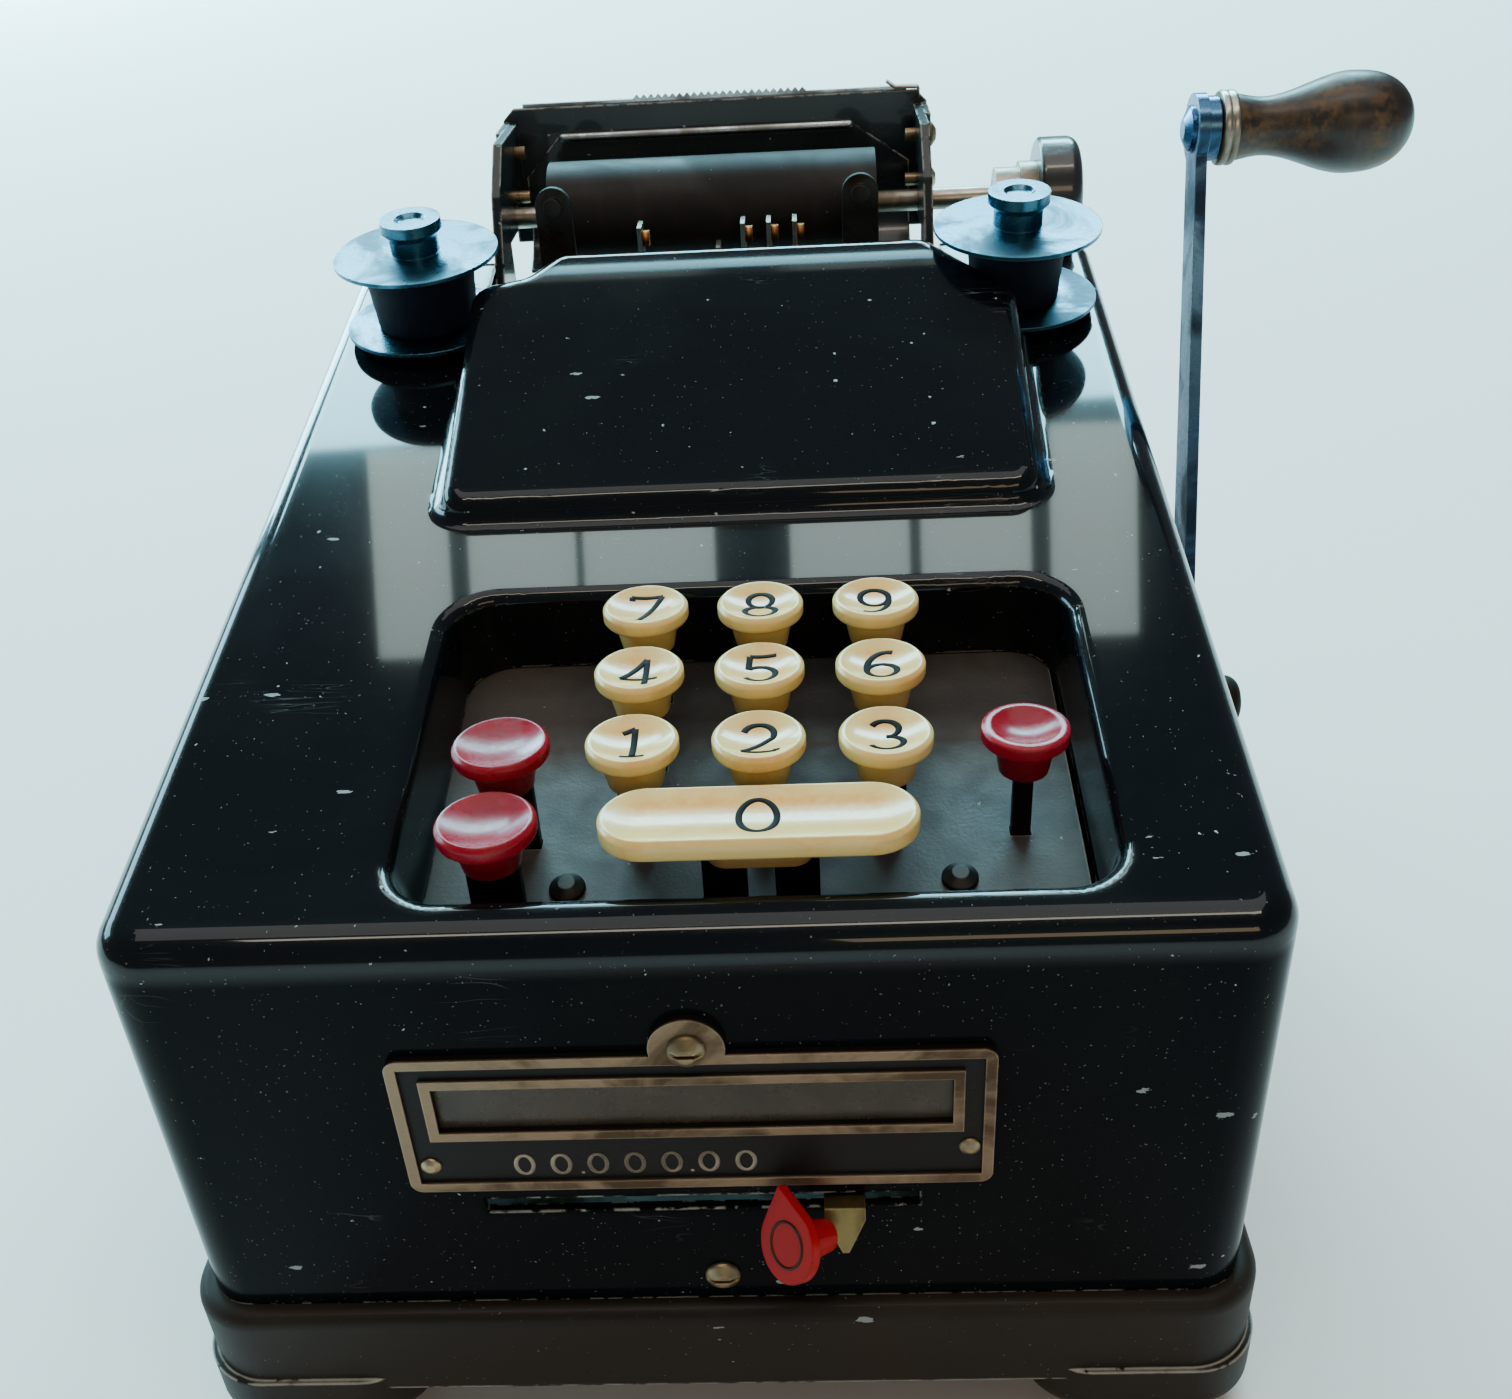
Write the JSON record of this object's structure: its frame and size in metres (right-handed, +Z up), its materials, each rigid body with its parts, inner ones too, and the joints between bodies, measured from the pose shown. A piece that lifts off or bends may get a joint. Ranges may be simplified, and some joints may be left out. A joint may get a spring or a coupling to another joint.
{
  "type": "adding machine",
  "caption": "Ten-key printing adding machine with a sunk keyboard, a hand crank, a column pointer, ribbon spools and a paper carriage.",
  "frame": {"origin": "middle of the bounding box in plan, on the surface that the rubber feet stand on", "axes": "+X to the right, where the crank is; +Y from the keyboard back to the carriage; +Z up"},
  "size_m": [0.2252, 0.237, 0.1826],
  "materials": {
    "black_enamel": "glossy black baked enamel",
    "base_enamel": "satin black enamel on cast metal",
    "foot_rubber": "matte",
    "inner_steel": "oiled",
    "bronze": "turned",
    "plate_finish": "fine brown-black wrinkle",
    "blackened_steel": "blackened",
    "plate_brass": "aged",
    "window_glass": "clear",
    "nickel": "nickelled",
    "carriage_enamel": "semi-gloss black",
    "arm_steel": "dark polished",
    "grip_wood": "dark varnished, worn",
    "red_plastic": "glossy",
    "spool_metal": "plated",
    "platen_rubber": "hard, matte",
    "knob_black": "satin",
    "ivory_plastic": "aged ivory"
  },
  "bodies": {
    "root": {"base_casting": "base_enamel", "rubber_feet": "foot_rubber", "bottom_plate": "inner_steel", "case_cover": "black_enamel", "frame_left": "inner_steel", "frame_right": "inner_steel", "tie_rods": "inner_steel", "crank_bushes": "bronze", "keyboard_plate": "plate_finish", "keyboard_plate_screws": "blackened_steel", "key_guide": "inner_steel", "indicator_plate": "plate_brass", "indicator_window": "window_glass", "plate_rivets": "nickel", "slotted_screws": "nickel", "spool_posts": "inner_steel", "platen_bracket": "carriage_enamel", "paper_table": "carriage_enamel", "tear_blade": "nickel", "paper_guide": "carriage_enamel", "type_guide": "blackened_steel"},
    "digit_zero": {"key_zero": "ivory_plastic", "stem_zero": "blackened_steel"},
    "digit_one": {"key_one": "ivory_plastic", "stem_one": "blackened_steel"},
    "digit_two": {"key_two": "ivory_plastic", "stem_two": "blackened_steel"},
    "digit_three": {"key_three": "ivory_plastic", "stem_three": "blackened_steel"},
    "digit_four": {"key_four": "ivory_plastic", "stem_four": "blackened_steel"},
    "digit_five": {"key_five": "ivory_plastic", "stem_five": "blackened_steel"},
    "digit_six": {"key_six": "ivory_plastic", "stem_six": "blackened_steel"},
    "digit_seven": {"key_seven": "ivory_plastic", "stem_seven": "blackened_steel"},
    "digit_eight": {"key_eight": "ivory_plastic", "stem_eight": "blackened_steel"},
    "digit_nine": {"key_nine": "ivory_plastic", "stem_nine": "blackened_steel"},
    "red_back_button": {"key_red_back": "red_plastic", "stem_red_back": "blackened_steel"},
    "red_front_button": {"key_red_front": "red_plastic", "stem_red_front": "blackened_steel"},
    "red_right_button": {"key_red_right": "red_plastic", "stem_red_right": "blackened_steel"},
    "crank": {"crank_shaft": "inner_steel", "crank_hub": "blackened_steel", "crank_arm": "arm_steel"},
    "grip": {"crank_grip": "grip_wood"},
    "pointer": {"column_tab": "plate_brass", "column_knob": "red_plastic"},
    "left_spool": {"spool_left": "spool_metal"},
    "right_spool": {"spool_right": "spool_metal"},
    "platen": {"platen_roller": "platen_rubber", "platen_shaft": "nickel", "platen_knob": "knob_black"},
    "printing_bars": {"type_bars": "nickel"},
    "adding_wheels": {"accumulator_wheels": "bronze"}
  },
  "joints": [
    {"name": "digit_zero_press", "type": "slide", "parent": "root", "child": "digit_zero", "axis": [0, 0, -1], "range_m": [0, 0.0045], "stiffness_N_per_m": 100, "springref_m": -0.003},
    {"name": "digit_one_press", "type": "slide", "parent": "root", "child": "digit_one", "axis": [0, 0, -1], "range_m": [0, 0.0045], "stiffness_N_per_m": 100, "springref_m": -0.003},
    {"name": "digit_two_press", "type": "slide", "parent": "root", "child": "digit_two", "axis": [0, 0, -1], "range_m": [0, 0.0045], "stiffness_N_per_m": 100, "springref_m": -0.003},
    {"name": "digit_three_press", "type": "slide", "parent": "root", "child": "digit_three", "axis": [0, 0, -1], "range_m": [0, 0.0045], "stiffness_N_per_m": 100, "springref_m": -0.003},
    {"name": "digit_four_press", "type": "slide", "parent": "root", "child": "digit_four", "axis": [0, 0, -1], "range_m": [0, 0.0045], "stiffness_N_per_m": 100, "springref_m": -0.003},
    {"name": "digit_five_press", "type": "slide", "parent": "root", "child": "digit_five", "axis": [0, 0, -1], "range_m": [0, 0.0045], "stiffness_N_per_m": 100, "springref_m": -0.003},
    {"name": "digit_six_press", "type": "slide", "parent": "root", "child": "digit_six", "axis": [0, 0, -1], "range_m": [0, 0.0045], "stiffness_N_per_m": 100, "springref_m": -0.003},
    {"name": "digit_seven_press", "type": "slide", "parent": "root", "child": "digit_seven", "axis": [0, 0, -1], "range_m": [0, 0.0045], "stiffness_N_per_m": 100, "springref_m": -0.003},
    {"name": "digit_eight_press", "type": "slide", "parent": "root", "child": "digit_eight", "axis": [0, 0, -1], "range_m": [0, 0.0045], "stiffness_N_per_m": 100, "springref_m": -0.003},
    {"name": "digit_nine_press", "type": "slide", "parent": "root", "child": "digit_nine", "axis": [0, 0, -1], "range_m": [0, 0.0045], "stiffness_N_per_m": 100, "springref_m": -0.003},
    {"name": "red_back_button_press", "type": "slide", "parent": "root", "child": "red_back_button", "axis": [0, 0, -1], "range_m": [0, 0.0045], "stiffness_N_per_m": 100, "springref_m": -0.003},
    {"name": "red_front_button_press", "type": "slide", "parent": "root", "child": "red_front_button", "axis": [0, 0, -1], "range_m": [0, 0.0045], "stiffness_N_per_m": 100, "springref_m": -0.003},
    {"name": "red_right_button_press", "type": "slide", "parent": "root", "child": "red_right_button", "axis": [0, 0, -1], "range_m": [0, 0.0045], "stiffness_N_per_m": 100, "springref_m": -0.003},
    {"name": "crank_pull", "type": "hinge", "parent": "root", "child": "crank", "pos_m": [0.0706, 0.0165, 0.063], "axis": [1, 0, 0], "range_deg": [0, 70], "stiffness_Nm_per_rad": 0.3, "springref_deg": -11.46},
    {"name": "grip_spin", "type": "hinge", "parent": "crank", "child": "grip", "pos_m": [0.0906, 0.05063, 0.17324], "axis": [1, 0, 0], "continuous": true},
    {"name": "pointer_slide", "type": "slide", "parent": "root", "child": "pointer", "axis": [1, 0, 0], "range_m": [-0.05, 0.007]},
    {"name": "left_spool_spin", "type": "hinge", "parent": "root", "child": "left_spool", "pos_m": [-0.0864, 0.05778, 0.1471], "axis": [0, -0.1219, 0.9925], "continuous": true},
    {"name": "right_spool_spin", "type": "hinge", "parent": "root", "child": "right_spool", "pos_m": [0.0385, 0.05778, 0.1471], "axis": [0, -0.1219, 0.9925], "continuous": true},
    {"name": "platen_turn", "type": "hinge", "parent": "root", "child": "platen", "pos_m": [-0.0246, 0.1015, 0.1496], "axis": [1, 0, 0], "continuous": true},
    {"name": "printing_lift", "type": "slide", "parent": "root", "child": "printing_bars", "axis": [0, 0, 1], "range_m": [0, 0.0082]},
    {"name": "wheel_turn", "type": "hinge", "parent": "root", "child": "adding_wheels", "pos_m": [-0.0246, 0.0455, 0.088], "axis": [1, 0, 0], "range_deg": [-37, 1]}
  ],
  "couplings": [
    {"joint": "printing_lift", "follows": "crank_pull", "m_per_rad": 0.0065481},
    {"joint": "wheel_turn", "follows": "crank_pull", "ratio": -0.51429}
  ]
}
